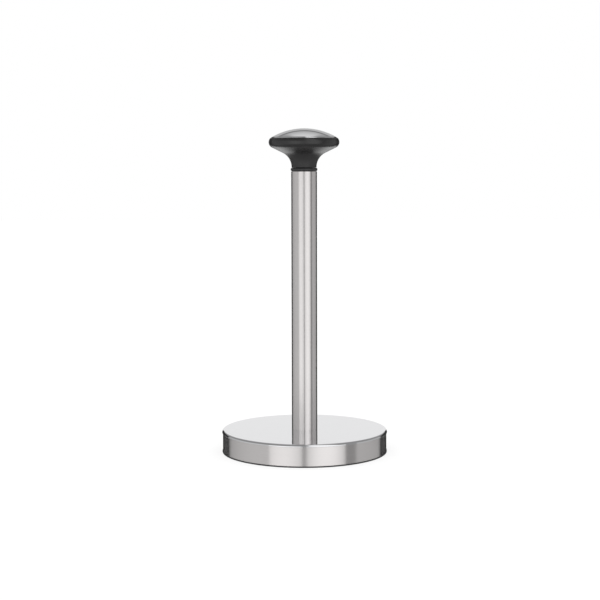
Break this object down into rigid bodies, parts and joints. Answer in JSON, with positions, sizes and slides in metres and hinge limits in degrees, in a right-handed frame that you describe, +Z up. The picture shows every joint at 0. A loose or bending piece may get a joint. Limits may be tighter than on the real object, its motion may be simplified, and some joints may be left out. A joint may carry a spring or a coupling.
{
  "type": "paper towel holder",
  "caption": "Free-standing paper towel holder: a weighted round steel base, a brushed steel pole and a soft-grip screw-off knob with a polished cap.",
  "frame": {"origin": "centre of the foot ring's underside, on the pole's axis", "axes": "+Z up along the pole; X and Y lie in the surface that the base stands on"},
  "size_m": [0.1792, 0.1792, 0.3491],
  "materials": {
    "polished_steel": "polished, with very fine brushing",
    "brushed_steel": "fine brushing round the part",
    "cast_iron": "rough cast, painted black",
    "plated_steel": "zinc plated",
    "foot_rubber": "matt, non-slip",
    "grip_rubber": "satin soft-touch",
    "black_plastic": "moulded satin"
  },
  "bodies": {
    "stand": {"top_plate": "polished_steel", "side_band": "brushed_steel", "ballast_weight": "cast_iron", "base_plate": "plated_steel", "plate_screws": "plated_steel", "foot_ring": "foot_rubber", "anchor_bolt": "plated_steel", "flat_washer": "plated_steel", "spring_washer": "plated_steel", "pole_gasket": "black_plastic", "post_tube": "brushed_steel", "lower_plug": "plated_steel", "upper_plug": "plated_steel"},
    "collar": {"collar_ring": "black_plastic"},
    "knob": {"soft_grip": "grip_rubber", "knob_core": "black_plastic", "knob_stud": "plated_steel", "stud_washer": "plated_steel", "stud_nut": "plated_steel", "steel_cap": "polished_steel"}
  },
  "joints": [
    {"name": "knob_rise", "type": "slide", "parent": "stand", "child": "collar", "axis": [0, 0, 1], "range_m": [0, 0.015]},
    {"name": "knob_turn", "type": "hinge", "parent": "collar", "child": "knob", "pos_m": [0, 0, 0.3067], "axis": [0, 0, 1], "range_deg": [0, 1800]}
  ],
  "couplings": [
    {"joint": "knob_rise", "follows": "knob_turn", "m_per_rad": 0.000477}
  ]
}
